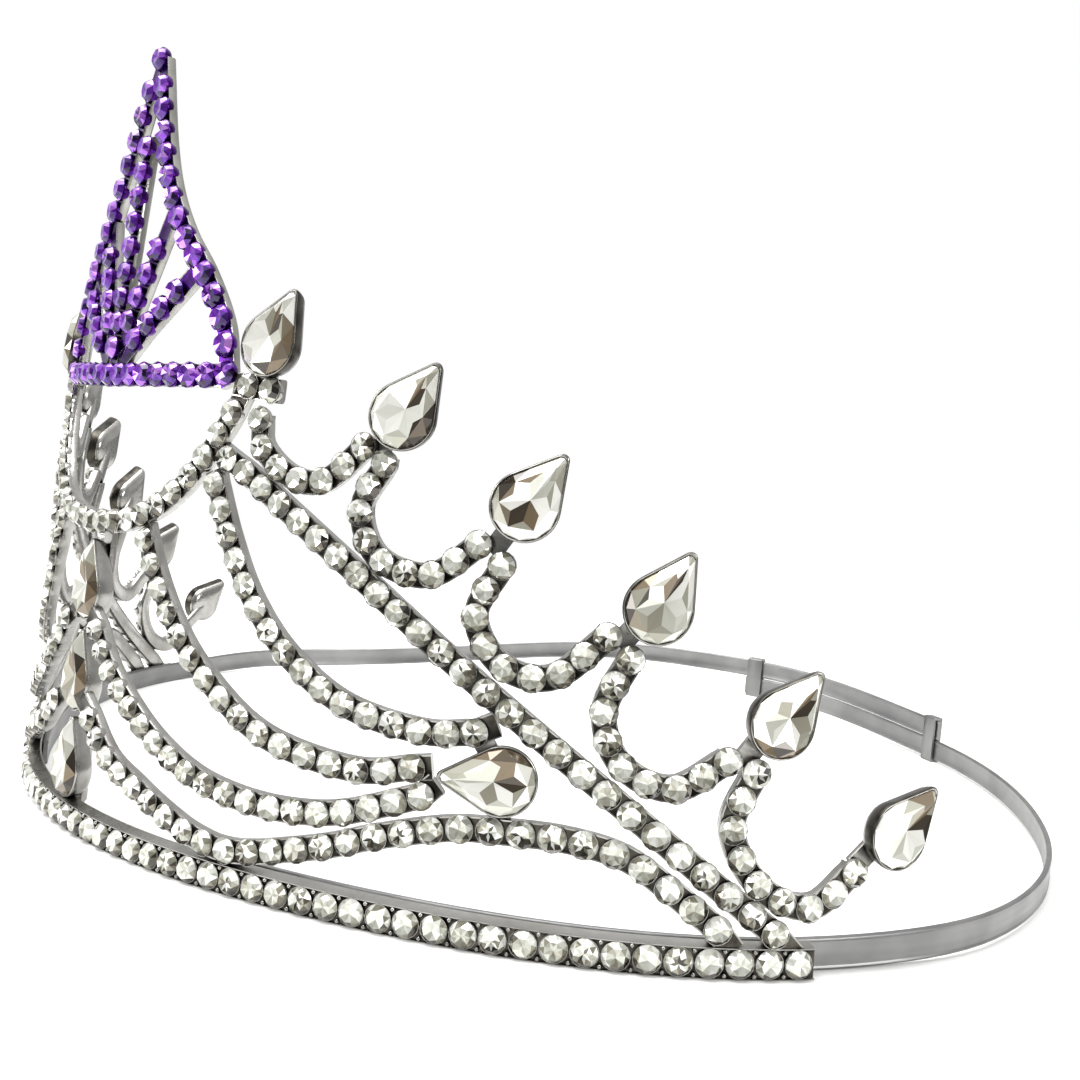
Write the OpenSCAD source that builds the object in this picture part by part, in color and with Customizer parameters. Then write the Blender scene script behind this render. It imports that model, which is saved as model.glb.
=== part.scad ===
// Crown with a tall pierced front of stone-set strips and an adjustable ring band.
// It stands on its rail. The front is -Y, up is +Z and the origin is on the floor, in
// the middle of the ring. Left and right are the wearer's, so the left side is +X.
// The front is laid out flat and then bent round the ring: a place is [u, z], with u
// in mm along the ring from the middle of the front and z in mm up from the floor.

/* [Ring] */
// Mean radius of the ring, at the outer face of the metal
ring_r = 84.8; // [78:0.2:92]
// How far the sides stand out past the mean radius
ring_oval = 3.5; // [0:0.1:4]
// How far the front is drawn in and the back is let out
ring_egg = 2; // [0:0.1:2.4]
// How far the four quarters stand in, which squares the ring a little
ring_square = 1.6; // [0:0.1:2]
// How far the front comes to a blunt nose
ring_nose = 0.6; // [0:0.1:0.8]
// Inward lean of the front for each mm of height
lean = 0.065; // [0:0.005:0.08]
// Further lean of the peak, which is flatter than the ring
peak_lean = 0.045; // [0:0.005:0.06]
// Shift that puts the middle of the whole crown over the origin
mid_y = -0.6; // [-2:0.1:1]

/* [Strips] */
// Width of the cast strips
strip_w = 3.1; // [3:0.1:3.4]
// Height of the rail that the crown stands on
rail_h = 3.4; // [3.2:0.1:3.6]
// Thickness of the castings
strip_t = 1.1; // [1:0.1:1.6]

/* [Round stones] */
// Width of a round stone across its corners
stone_d = 3; // [2.4:0.1:3]
// Width of a round stone's table
table_d = 1.7; // [1.2:0.1:2]
// Height of a round stone above the metal
stone_h = 1.6; // [1.2:0.1:1.8]
// Air between a stone and the metal under it
seat_gap = 0.1; // [0.05:0.05:0.2]
// Sides of a round stone
stone_sides = 8; // [8:1:10]

/* [Pear stones] */
// Radius of a pear cup's round end
pear_r = 3.95; // [3.4:0.05:4]
// From the middle of a pear cup's round end to its tip
pear_reach = 7.2; // [6.5:0.1:7.8]
// Radius of a pear cup's tip
pear_tip = 0.75; // [0.5:0.05:1]
// Thickness of a cup's wall and floor
cup_wall = 0.45; // [0.3:0.05:0.6]
// Height of a cup's rim in front of the panel
cup_rim = 1.6; // [1.2:0.1:2]
// Depth of a cup's back behind the panel's face
cup_back = 1.2; // [1:0.1:1.6]
// Height of a pear stone's table in front of the panel
pear_h = 3; // [2.4:0.1:3.4]

/* [Band] */
// Height of a band strip
band_h = 3.6; // [3:0.1:4]
// Thickness of a band strip
band_t = 0.8; // [0.6:0.1:1]
// Height of the lower strip's bottom edge over the floor
band_z = 0.6; // [0.6:0.1:0.8]
// Gap between the two strips where they run edge to edge
band_gap = 0.3; // [0.2:0.1:0.5]
// Wall of a crimp sleeve
sleeve_wall = 0.5; // [0.4:0.1:0.5]
// Length of a crimp sleeve along the band
sleeve_w = 3.4; // [3:0.1:4]

/* [Hidden] */

metal = [0.74, 0.74, 0.76];
crystal = [0.9, 0.9, 0.88];
amethyst = [0.45, 0.2, 0.7];

// Half of the rail, from the middle of the front to its end, and its row of stones
rail_end = 103;
rail_last = 101.1;
rail_count = 63;
rail_sections = 15;
rail_z = rail_h / 2;

// The rows of the left half, each as [points it runs through, stones along it]
upper_row = [[[0, 40.3], [9.6, 41.3], [17.1, 44], [22.7, 48.2], [26.8, 53.3], [28.5, 55.8]], 11];
seat_row = [[[30.7, 59], [34.2, 58.6]], 2];
swoop_1 = [[[26.9, 47.2], [30.2, 40.8], [34.5, 34.4], [40.5, 28.7], [48.6, 24.3], [58.4, 22.7],
    [64.6, 23.4]], 16];
swoop_2 = [[[15, 39.3], [18.2, 34.5], [22.7, 29.2], [27.7, 24.9], [35.2, 20.3], [41.9, 18.2],
    [51.2, 17.3], [57.8, 18.6]], 16];
swoop_3 = [[[5.6, 26.6], [9.8, 22.3], [15.9, 18.2], [22, 14.9], [28.8, 12.4], [36, 11.3],
    [43.2, 11.3], [49.9, 12.4], [59.1, 15.7]], 19];
swoop_4 = [[[6.4, 15.2], [11.9, 11.3], [18, 9.2], [23.7, 7.2], [29.7, 5.5], [36, 5.2],
    [47, 7.9], [54.2, 10.4], [62.7, 12.7], [69.1, 13.2], [75.5, 13.2], [81.8, 12], [86.9, 8.9],
    [92, 5.2]], 28];
diagonal = [[[28.5, 50.3], [33.7, 47.8], [48.1, 39.3], [64.1, 28.8], [80.2, 18], [98.3, 4.9]], 26];
arcs = [
    [[[33, 55.2], [33.8, 52], [38.2, 49], [43.2, 48.9], [48.1, 53.1]], 7],
    [[[51, 51.4], [48.4, 46.3], [51.1, 41], [57.7, 39.7], [63.2, 43.6]], 9],
    [[[66.1, 41.6], [63.5, 35.9], [66.8, 31], [72.6, 30.3], [78.2, 35.2]], 9],
    [[[80.8, 33], [78.4, 27.3], [80.5, 21.9], [86.2, 19.7], [91.9, 23.1]], 9],
    [[[95.1, 22], [92.9, 16.1], [96.2, 10], [102.3, 7.7], [107.3, 11.4]], 9]];

// The peak: an ogee arch on a foot bar, with a fan of five rays inside it
peak_z = 58;
apex = [0, 101.3];
finial = [[0, 94], apex + [0, 1.7]];
foot_row = [[[0, 59.6], [23.1, 60]], 8];
arch_row = [[[26.5, 60.4], [24.8, 66], [20.2, 72], [14.6, 77.2], [9.8, 82.8], [6, 89.2],
    [2.2, 97.4]], 14];
fan_hub = [0, 59.6];
middle_ray = [[[0, 63.2], [0, 89.6]], 9];
// Each side ray as [angle from upright, first stone's distance, stones, end of its strip]
ray_pitch = 3.4;
ray_start = 4;
side_rays = [[27, 7.8, 4, 23], [54, 7.8, 4, 22]];

// Pear cups of the left half, each as [u, z, lean of the tip away from the front]
top_pears = [[33.7, 63.8, 25], [53, 56.7, 32], [68.1, 48.1, 35], [83.1, 38.6, 29],
    [97.1, 27.5, 38], [112, 15.5, 45]];
// Where the neck under each of them comes off its arc
neck_feet = [[32.5, 58.4], [49.7, 52.7], [64.6, 42.8], [79.4, 34.3], [93.5, 22.6], [107.7, 11.8]];
side_pear = [68.1, 18.8, -90];
side_pear_hanger = [[65, 23.2], [68.1, 18.8], [68.1, 13.2]];
centre_pears = [[0, 30.9, 0], [0, 18.7, 0], [0, 7.1, 0]];
// The centre pears sit further in than the strips, on a post that bows back behind them.
// A place's third number is how far out of the panel it lies.
centre_out = -1.6;
post_out = -1.9;
middle_post = [[0, 0.4, 0], [0, 3, post_out], [0, 38.6, post_out], [0, 41.2, 0]];

// Angles of the two crimp sleeves and of the strips' front ends, round from the front
left_strip_start = 21;
sleeve_left_a = 159;
sleeve_right_a = 193;
strip_past_sleeve = 1.5;
// Between these angles a strip comes out from behind the rail to the ring itself
come_out_from = 72;
come_out_to = 88;
// Height of both strips' bottom edges where they lie behind the rail
front_z = 0.1;
// How far both strips rise from one sleeve to the other
band_rise = 2.6;
// Between these angles the right strip comes down from over the left one
drop_from = 208;
drop_to = 264;
band_step = 4;

// Bending the flat layout round the ring
function ring(a) = ring_r - ring_oval * cos(2 * a) - ring_egg * cos(3 * a)
    + ring_square * cos(4 * a) + ring_nose * cos(5 * a);
angle_step = 2;
angle_at = [for (a = 0, u = 0; a <= 120; u = u + ring(a + angle_step / 2) * angle_step * PI / 180,
    a = a + angle_step) [u, a]];
function round_from_front(u) = sign(u) * lookup(abs(u), angle_at);
function inset(z) = lean * z + peak_lean * max(z - peak_z, 0);
function polar(a, z, out) = let (r = ring(a) - inset(z) + out)
    [r * sin(a), mid_y - r * cos(a), z];
function out_of_panel(p) = len(p) > 2 ? p[2] : 0;
function bent(p, out) = polar(round_from_front(p[0]), p[1], out + out_of_panel(p));

// A smooth curve through points, and places at equal steps along it
function blend(a, b, c, d, s) = 0.5 * (2 * b + (c - a) * s + (2 * a - 5 * b + 4 * c - d) * s * s
    + (3 * b - a - 3 * c + d) * s * s * s);
fine_steps = 12;
function curve(p) = let (last = len(p) - 1) [
    for (i = [0:last - 1])
        let (before = i > 0 ? p[i - 1] : 2 * p[0] - p[1])
        let (after = i < last - 1 ? p[i + 2] : 2 * p[last] - p[last - 1])
        for (j = [0:fine_steps - 1]) blend(before, p[i], p[i + 1], after, j / fine_steps),
    p[last]];
function lengths(q) = [for (i = 0, s = 0; i < len(q);
    s = s + norm(q[min(i + 1, len(q) - 1)] - q[i]), i = i + 1) s];
function spaced(p, count) = let (q = curve(p), s = lengths(q), last = len(q) - 1)
    let (u_at = [for (i = [0:last]) [s[i], q[i][0]]])
    let (z_at = [for (i = [0:last]) [s[i], q[i][1]]])
    [for (k = [0:count - 1]) let (x = s[last] * k / (count - 1)) [lookup(x, u_at), lookup(x, z_at)]];
function row_places(row) = spaced(row[0], row[1]);
function ray_place(a, d) = fan_hub + d * [sin(a), cos(a)];

// Strips that cross lie on separate levels, so that no two of their faces share a plane
first_face = 0.05;
level_step = 0.12;
function face_at(level) = first_face - level * level_step;

// A flat strip along places on the panel, with its face on a level
module strip(places, width, level) {
    last = len(places) - 1;
    face = face_at(level);
    back = face - strip_t;
    sides = [for (i = [0:last])
        let (way = places[min(i + 1, last)] - places[max(i - 1, 0)])
        width / 2 / norm([way[0], way[1]]) * (len(way) > 2 ? [-way[1], way[0], 0] : [-way[1], way[0]])];
    corners = [for (i = [0:last]) each [
        bent(places[i] + sides[i], face), bent(places[i] - sides[i], face),
        bent(places[i] - sides[i], back), bent(places[i] + sides[i], back)]];
    walls = [for (i = [0:last - 1]) for (k = [0:3])
        let (a = 4 * i + k, b = 4 * i + (k + 1) % 4) each [[a, b + 4, b], [a, a + 4, b + 4]]];
    start_cap = [[0, 2, 3], [0, 1, 2]];
    end = 4 * last;
    end_cap = [[end, end + 2, end + 1], [end, end + 3, end + 2]];
    polyhedron(corners, concat(walls, start_cap, end_cap));
}

sections_per_stone = 0.6;
function sections(row) = spaced(row[0], ceil(row[1] * sections_per_stone) + 1);
function start_at(places, more) = concat([places[0] + more], places);
function end_at(places, more) = concat(places, [places[len(places) - 1] + more]);
function other_side(places) = [for (p = places) [-p[0], p[1]]];
function without_first(places) = [for (i = [1:len(places) - 1]) places[i]];
function reversed(places) = [for (i = [len(places) - 1:-1:0]) places[i]];

// The strip under a row, lengthened past its first and last stones
module row_strip(row, before, after, level) {
    strip(end_at(start_at(sections(row), before), after), strip_w, level);
}

// One strip under a row of the left half and its mirror image, which meet in the middle
module whole_strip(row, after, level) {
    half = end_at(sections(row), after);
    strip(concat(reversed(other_side(without_first(half))), half), strip_w, level);
}

// Puts a flat shape at [u, z], facing out and with its top leant over, on the panel or set
// off from it, and turned by an angle from the line out of the ring's middle
module on_panel(place, out = 0, turn = 0) {
    a = round_from_front(place[0]);
    tilt = atan(inset(place[1] + 1) - inset(place[1]));
    translate(polar(a, place[1], out)) rotate([90 - tilt, 0, a - turn]) rotate(-place[2]) children();
}
// How far the ring's own outward direction is turned from that line
function slew(u) = let (a = round_from_front(u))
    atan((ring(a + angle_step) - ring(a - angle_step)) / ring(a) * 90 / (angle_step * PI));

// The outline of a pear, round end at the origin and tip up, drawn in by inset. The tip
// is sharper than the round end, so it draws in further.
arc_points = 7;
tip_draw = 1.6;
sharpest_tip = 0.15;
function pear_outline(inset) = let (r = pear_r - inset, reach = pear_reach - tip_draw * inset)
    let (tip_r = max(pear_tip - inset / 2, sharpest_tip), tip_at = reach - tip_r)
    let (tangent = acos((r - tip_r) / tip_at))
    let (flank_end = tip_r * [sin(tangent), cos(tangent)] + [0, tip_at])
    let (arc = [for (i = [0:arc_points - 1])
        let (a = tangent + (360 - 2 * tangent) * i / (arc_points - 1)) r * [sin(a), cos(a)]])
    concat([[0, reach], flank_end], arc, [[-flank_end[0], flank_end[1]]]);

module pear_cup(place, out = 0) {
    on_panel(place, out) difference() {
        hull() {
            translate([0, 0, cup_wall - cup_back]) linear_extrude(cup_rim + cup_back - cup_wall)
                polygon(pear_outline(0));
            translate([0, 0, -cup_back]) linear_extrude(cup_wall) polygon(pear_outline(2 * cup_wall));
        }
        translate([0, 0, 2 * cup_wall - cup_back]) linear_extrude(cup_rim + cup_back)
            polygon(pear_outline(cup_wall));
    }
}

// A solid between rings of points, each ring a list of points on one level
module ringed(rings) {
    n = len(rings[0]);
    top = len(rings) - 1;
    walls = [for (r = [0:top - 1]) for (k = [0:n - 1])
        let (a = r * n + k, b = r * n + (k + 1) % n) each [[a, b, b + n], [a, b + n, a + n]]];
    caps = [[for (k = [n - 1:-1:0]) k], [for (k = [0:n - 1]) top * n + k]];
    polyhedron([for (r = rings) each r], concat(walls, caps));
}

// A pear stone, clear of its cup all round, with its crown sloping in to the table
pear_clear = 0.1;
crown_in = 1.6;
function level(points, h) = [for (p = points) [p[0], p[1], h]];
module pear_stone(place, out = 0) {
    inset = cup_wall + pear_clear;
    foot = 2 * cup_wall - cup_back + pear_clear;
    on_panel(place, out) ringed([level(pear_outline(inset), foot), level(pear_outline(inset), cup_rim),
        level(pear_outline(inset + crown_in), pear_h)]);
}

function around(r) = [for (k = [0:stone_sides - 1]) let (a = 180 / stone_sides - 360 / stone_sides * k)
    r * [cos(a), sin(a)]];
module round_stone(place) {
    on_panel([place[0], place[1], 0], 0, slew(place[0]))
        ringed([level(around(stone_d / 2), first_face + seat_gap), level(around(table_d / 2), stone_h)]);
}
module stones(places) {
    for (p = places) round_stone(p);
}
function both_sides(places) = concat(places, other_side(places));

// One half of the cast front, without the rail. Each strip runs on past its first and last
// stones by the [u, z] given, on the level given last.
module half_front() {
    row_strip(seat_row, [-2.6, 0.2], [1.4, 0], 2);
    row_strip(swoop_1, [-0.6, 1.6], [2.4, 1.2], 2);
    row_strip(swoop_2, [-0.9, 1.6], [2.2, 0.4], 2);
    row_strip(swoop_3, [-3.1, 1.8], [1.6, 1.6], 1);
    row_strip(swoop_4, [-3.35, 1.9], [1.8, -2.2], 2);
    row_strip(diagonal, [-3, 1.4], [2.6, -2.6], 1);
    for (i = [0:len(arcs) - 1]) row_strip(arcs[i], [0, 0.8], [0.4, 0.8], 3 - i % 2);
    for (i = [0:len(top_pears) - 1]) {
        neck = [neck_feet[i], [top_pears[i][0], top_pears[i][1]]];
        strip(neck, strip_w, 4);
        pear_cup(top_pears[i]);
    }
    pear_cup(side_pear);
    strip(side_pear_hanger, strip_w, 4);
}

// The side rays of one half of the peak's fan
module half_fan() {
    for (i = [0:len(side_rays) - 1]) let (ray = side_rays[i])
        strip([for (d = [ray_start, ray[3] / 2, ray[3]]) ray_place(ray[0], d)], strip_w, 4 + i);
}

module peak() {
    whole_strip(foot_row, [3.6, 0.3], 2);
    arch = start_at(sections(arch_row), [0.6, -1.4]);
    strip(concat(arch, [apex], reversed(other_side(arch))), strip_w, 1);
    strip(finial, strip_w, 0);
    row_strip(middle_ray, [0, -3.4], [0, 2], 3);
    half_fan();
    mirror([1, 0, 0]) half_fan();
}

module frame() {
    color(metal) union() {
        strip([for (k = [-rail_sections:rail_sections]) [rail_end * k / rail_sections, rail_z]],
            rail_h, 0);
        whole_strip(upper_row, [1.2, 2.4], 0);
        half_front();
        mirror([1, 0, 0]) half_front();
        peak();
        strip(middle_post, strip_w, 2);
        for (place = centre_pears) pear_cup(place, centre_out);
    }
}

// The two strips of the band, which lie behind the rail and overlap at the back
solder_gap = 0.15;
behind_rail = strip_t - face_at(2) + inset(band_z + band_h) + solder_gap;
function ramp(from, to, a) = a <= from ? 0 : a >= to ? 1 : (1 - cos(180 * (a - from) / (to - from))) / 2;
function band_out(a) = -behind_rail * (1 - ramp(come_out_from, come_out_to, min(a, 360 - a)));
function end_z(a) = front_z + (band_z - front_z) * ramp(come_out_from, come_out_to, min(a, 360 - a));
function lower_z(a) = end_z(a) + band_rise * ramp(sleeve_left_a, sleeve_right_a, a);
function upper_z(a) = lower_z(a) + band_h + band_gap;
function right_strip_z(a) = upper_z(a) + (end_z(a) - upper_z(a)) * ramp(drop_from, drop_to, a);

module band_strip(angles, heights) {
    rings = [for (i = [0:len(angles) - 1])
        let (a = angles[i], z = heights[i], out = band_out(a))
        let (face = polar(a, 0, out), back = polar(a, 0, out - band_t))
        [face + [0, 0, z], face + [0, 0, z + band_h], back + [0, 0, z + band_h], back + [0, 0, z]]];
    ringed(rings);
}
function steps(from, to) = let (count = ceil((to - from) / band_step))
    [for (i = [0:count]) from + (to - from) * i / count];

module band_left() {
    angles = steps(left_strip_start, sleeve_right_a + strip_past_sleeve);
    color(metal) band_strip(angles, [for (a = angles) lower_z(a)]);
}
module band_right() {
    angles = steps(sleeve_left_a - strip_past_sleeve, 360 - left_strip_start);
    color(metal) band_strip(angles, [for (a = angles) right_strip_z(a)]);
}

// A crimp sleeve round both strips at angle a, square to their run
module sleeve(a) {
    slack = 0.1;
    outer_d = band_t + 2 * slack + 2 * sleeve_wall;
    outer_h = 2 * band_h + band_gap + 2 * slack + 2 * sleeve_wall;
    run = polar(a + 1, 0, 0) - polar(a - 1, 0, 0);
    middle = polar(a, 0, -band_t / 2);
    bottom = lower_z(a) - slack - sleeve_wall;
    color(metal) translate([middle[0], middle[1], bottom]) rotate(atan2(run[1], run[0])) difference() {
        translate([-sleeve_w / 2, -outer_d / 2, 0]) cube([sleeve_w, outer_d, outer_h]);
        translate([-sleeve_w / 2 - 1, -outer_d / 2 + sleeve_wall, sleeve_wall])
            cube([sleeve_w + 2, outer_d - 2 * sleeve_wall, outer_h - 2 * sleeve_wall]);
    }
}

module rail_stones() {
    color(crystal) stones([for (k = [0:rail_count - 1])
        [rail_last * (2 * k / (rail_count - 1) - 1), rail_z]]);
}
module diagonal_stones() {
    color(crystal) stones(both_sides(row_places(diagonal)));
}
module upper_stones() {
    middle = [row_places(upper_row)[0]];
    sides = concat(without_first(row_places(upper_row)), row_places(seat_row));
    color(crystal) stones(concat(middle, both_sides(sides)));
}
module peak_stones() {
    rays = [for (ray = side_rays) for (i = [0:ray[2] - 1]) ray_place(ray[0], ray[1] + ray_pitch * i)];
    middle = concat([apex, fan_hub], row_places(middle_ray));
    color(amethyst) stones(concat(middle,
        both_sides(concat(row_places(arch_row), without_first(row_places(foot_row)), rays))));
}
module pear_left(i) {
    color(crystal) pear_stone(top_pears[i - 1]);
}
module pear_right(i) {
    color(crystal) mirror([1, 0, 0]) pear_stone(top_pears[i - 1]);
}
module centre_pear(i) {
    color(crystal) pear_stone(centre_pears[i - 1], centre_out);
}

frame();
band_left();
band_right();
sleeve(sleeve_left_a);  // sleeve_left
sleeve(sleeve_right_a);  // sleeve_right
rail_stones();
diagonal_stones();
upper_stones();
peak_stones();
for (i = [1:6]) {
    pear_left(i);
    pear_right(i);
}
color(crystal) pear_stone(side_pear);  // side_pear_left
color(crystal) mirror([1, 0, 0]) pear_stone(side_pear);  // side_pear_right
for (i = [1:3]) {
    centre_pear(i);
}
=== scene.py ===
import bisect
import math
import random

import bmesh
import bpy
from mathutils import Matrix, Vector

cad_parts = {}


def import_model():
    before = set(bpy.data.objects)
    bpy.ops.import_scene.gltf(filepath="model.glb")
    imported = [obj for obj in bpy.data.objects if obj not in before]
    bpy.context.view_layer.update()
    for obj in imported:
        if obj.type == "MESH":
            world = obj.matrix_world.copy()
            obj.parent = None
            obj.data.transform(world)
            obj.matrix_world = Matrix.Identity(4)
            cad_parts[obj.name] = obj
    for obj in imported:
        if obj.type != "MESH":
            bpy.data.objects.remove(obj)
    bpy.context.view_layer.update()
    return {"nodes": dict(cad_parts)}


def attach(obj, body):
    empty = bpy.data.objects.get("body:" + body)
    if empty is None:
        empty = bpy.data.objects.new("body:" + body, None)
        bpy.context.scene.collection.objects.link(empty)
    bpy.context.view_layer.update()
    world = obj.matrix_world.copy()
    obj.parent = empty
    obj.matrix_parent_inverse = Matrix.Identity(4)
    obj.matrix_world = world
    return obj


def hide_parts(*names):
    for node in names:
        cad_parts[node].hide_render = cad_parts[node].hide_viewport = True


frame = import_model()
print("frame loaded,", len(frame["nodes"]), "nodes")


# camera first: the photograph looks slightly down on the left front of the crown
cameraSettings = {
    "place": (0.164056, -0.140955, 0.054195),      # metres
    "turn": 49.8645,       # degrees round from the front
    "height": 4.3095,      # degrees of downward tilt
    "roll": 4.6232,        # degrees
    "lens": 41.771,        # mm
    "sensor": 36,          # mm wide
    "shift": (0.0014, 0.0053),
    "nearest": 0.005,      # metres
}


def makeCamera(settings):
    turn, height, roll = (math.radians(settings[key]) for key in ("turn", "height", "roll"))
    flat = math.cos(height)
    back = Vector((math.sin(turn) * flat, -math.cos(turn) * flat, math.sin(height)))
    level = (-back).cross(Vector((0, 0, 1))).normalized()
    upright = back.cross(level)
    right = math.cos(roll) * level + math.sin(roll) * upright
    up = back.cross(right)
    data = bpy.data.cameras.new("photoCamera")
    data.lens = settings["lens"]
    data.sensor_width = settings["sensor"]
    data.shift_x, data.shift_y = settings["shift"]
    data.clip_start = settings["nearest"]
    camera = bpy.data.objects.new("photoCamera", data)
    camera.matrix_world = Matrix((
        (right.x, up.x, back.x, settings["place"][0]),
        (right.y, up.y, back.y, settings["place"][1]),
        (right.z, up.z, back.z, settings["place"][2]),
        (0, 0, 0, 1)))
    bpy.context.scene.collection.objects.link(camera)
    bpy.context.scene.camera = camera


makeCamera(cameraSettings)
print("camera placed")


def linearColour(code):
    # sRGB hex to the linear values that Blender's sockets take
    parts = [int(code[i:i + 2], 16) / 255 for i in (1, 3, 5)]
    return tuple(c / 12.92 if c <= 0.04045 else ((c + 0.055) / 1.055) ** 2.4 for c in parts) + (1.0,)


def addNode(tree, kind, inputs=None, **settings):
    node = tree.nodes.new(kind)
    for name, value in settings.items():
        setattr(node, name, value)
    for name, value in (inputs or {}).items():
        if isinstance(value, bpy.types.NodeSocket):
            tree.links.new(value, node.inputs[name])
        else:
            node.inputs[name].default_value = value
    return node


def newMaterial(name):
    material = bpy.data.materials.new(name)
    material.use_nodes = True
    tree = material.node_tree
    tree.nodes.clear()
    return material, tree


def finishMaterial(tree, shader):
    output = tree.nodes.new("ShaderNodeOutputMaterial")
    tree.links.new(shader, output.inputs["Surface"])


def colourStops(ramp, stops):
    elements = ramp.color_ramp.elements
    while len(elements) > 1:
        elements.remove(elements[-1])
    elements[0].position, elements[0].color = stops[0][0], linearColour(stops[0][1])
    for place, code in stops[1:]:
        elements.new(place).color = linearColour(code)


def scaleFor(millimetres):
    # a texture's scale, for features of this size in a scene in metres
    return 1000 / millimetres


# cast white metal under a bright silver-tone plate: sharp reflections that waver with the
# casting's faint orange peel, a greyer tone where polish didn't reach, and painted shade in the corners
silverPlateLook = {
    "bright": "#a6a5a1", "dull": "#878580", "cornerShade": "#45413a",
    "toneMm": 6.0, "toneFrom": 0.3, "toneTo": 0.62,
    "roughness": (0.18, 0.34), "roughFrom": 0.3, "roughTo": 0.7,
    "peelMm": 1.1, "peelStrength": 0.16, "peelDepthMm": 0.2,
    "cornerMm": 0.5, "cornerShadeFrom": 0.25, "cornerShadeTo": 0.8,
}


def makeSilverPlate(look):
    material, tree = newMaterial("silverPlatedCasting")
    place = addNode(tree, "ShaderNodeTexCoord").outputs["Object"]
    tone = addNode(tree, "ShaderNodeTexNoise", {
        "Vector": place, "Scale": scaleFor(look["toneMm"]), "Detail": 3.0, "Roughness": 0.6})
    peel = addNode(tree, "ShaderNodeTexNoise", {
        "Vector": place, "Scale": scaleFor(look["peelMm"]), "Detail": 2.0})
    colour = addNode(tree, "ShaderNodeValToRGB", {"Fac": tone.outputs["Fac"]})
    colourStops(colour, [(look["toneFrom"], look["dull"]), (look["toneTo"], look["bright"])])
    # painted shade: where ambient occlusion finds a corner, the colour darkens towards the corner shade's
    # colour
    corner = addNode(tree, "ShaderNodeAmbientOcclusion", {"Distance": look["cornerMm"] / 1000},
                     samples=4, only_local=True)
    openness = addNode(tree, "ShaderNodeMapRange", {
        "Value": corner.outputs["AO"], "From Min": look["cornerShadeFrom"], "From Max": look["cornerShadeTo"]})
    cornerShaded = addNode(tree, "ShaderNodeMix", {
        0: openness.outputs["Result"], 6: linearColour(look["cornerShade"]), 7: colour.outputs["Color"]},
        data_type="RGBA")
    rough = addNode(tree, "ShaderNodeMapRange", {
        "Value": tone.outputs["Fac"], "From Min": look["roughFrom"], "From Max": look["roughTo"],
        "To Min": look["roughness"][1], "To Max": look["roughness"][0]})
    bump = addNode(tree, "ShaderNodeBump", {
        "Height": peel.outputs["Fac"], "Strength": look["peelStrength"],
        "Distance": look["peelDepthMm"] / 1000})
    shader = addNode(tree, "ShaderNodeBsdfPrincipled", {
        "Base Color": cornerShaded.outputs[2], "Metallic": 1.0,
        "Roughness": rough.outputs["Result"], "Normal": bump.outputs["Normal"]})
    finishMaterial(tree, shader.outputs["BSDF"])
    return material


# spring steel strip, rolled and then polished along its length: soft long reflections
bandSteelLook = {
    "light": "#8b8b8a", "dark": "#7b7b7b", "blotchMm": 7.0, "blotchFrom": 0.35, "blotchTo": 0.65,
    "roughness": (0.36, 0.48), "roughFrom": 0.3, "roughTo": 0.7,
    "streakMm": 0.5, "runMm": 25.0, "streakStrength": 0.04, "streakDepthMm": 0.1,
}


def makeBandSteel(look):
    material, tree = newMaterial("polishedSpringSteel")
    place = addNode(tree, "ShaderNodeTexCoord").outputs["Object"]
    along, across = scaleFor(look["runMm"]), scaleFor(look["streakMm"])
    stretched = addNode(tree, "ShaderNodeMapping", {"Vector": place, "Scale": (along, along, across)})
    streak = addNode(tree, "ShaderNodeTexNoise", {
        "Vector": stretched.outputs["Vector"], "Scale": 1.0, "Detail": 4.0, "Roughness": 0.6})
    blotch = addNode(tree, "ShaderNodeTexNoise", {
        "Vector": place, "Scale": scaleFor(look["blotchMm"]), "Detail": 2.0})
    colour = addNode(tree, "ShaderNodeValToRGB", {"Fac": blotch.outputs["Fac"]})
    colourStops(colour, [(look["blotchFrom"], look["dark"]), (look["blotchTo"], look["light"])])
    rough = addNode(tree, "ShaderNodeMapRange", {
        "Value": streak.outputs["Fac"], "From Min": look["roughFrom"], "From Max": look["roughTo"],
        "To Min": look["roughness"][0], "To Max": look["roughness"][1]})
    bump = addNode(tree, "ShaderNodeBump", {
        "Height": streak.outputs["Fac"], "Strength": look["streakStrength"],
        "Distance": look["streakDepthMm"] / 1000})
    shader = addNode(tree, "ShaderNodeBsdfPrincipled", {
        "Base Color": colour.outputs["Color"], "Metallic": 1.0,
        "Roughness": rough.outputs["Result"], "Normal": bump.outputs["Normal"]})
    finishMaterial(tree, shader.outputs["BSDF"])
    return material


# nearly black plate with a satin gloss, on the pear cups' walls and on the ground between the stones:
# painted shade, where those walls and hollows lie in shadow
groundShadeLook = {
    "dark": "#211f1c", "light": "#55524b", "toneMm": 2.0, "toneFrom": 0.35, "toneTo": 0.7,
    "roughness": 0.3,
}
# plate on the front of the peak with a painted reflection of the purple stones, darkened as painted shade:
# deep violet, glossier than the dark ground
purpleShineLook = {
    "dark": "#1d0738", "light": "#552180", "toneMm": 1.5, "toneFrom": 0.35, "toneTo": 0.7,
    "roughness": 0.22,
}


def makeStainedPlate(name, look):
    material, tree = newMaterial(name)
    place = addNode(tree, "ShaderNodeTexCoord").outputs["Object"]
    tone = addNode(tree, "ShaderNodeTexNoise", {
        "Vector": place, "Scale": scaleFor(look["toneMm"]), "Detail": 3.0})
    colour = addNode(tree, "ShaderNodeValToRGB", {"Fac": tone.outputs["Fac"]})
    colourStops(colour, [(look["toneFrom"], look["dark"]), (look["toneTo"], look["light"])])
    shader = addNode(tree, "ShaderNodeBsdfPrincipled", {
        "Base Color": colour.outputs["Color"], "Metallic": 1.0, "Roughness": look["roughness"]})
    finishMaterial(tree, shader.outputs["BSDF"])
    return material
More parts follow.
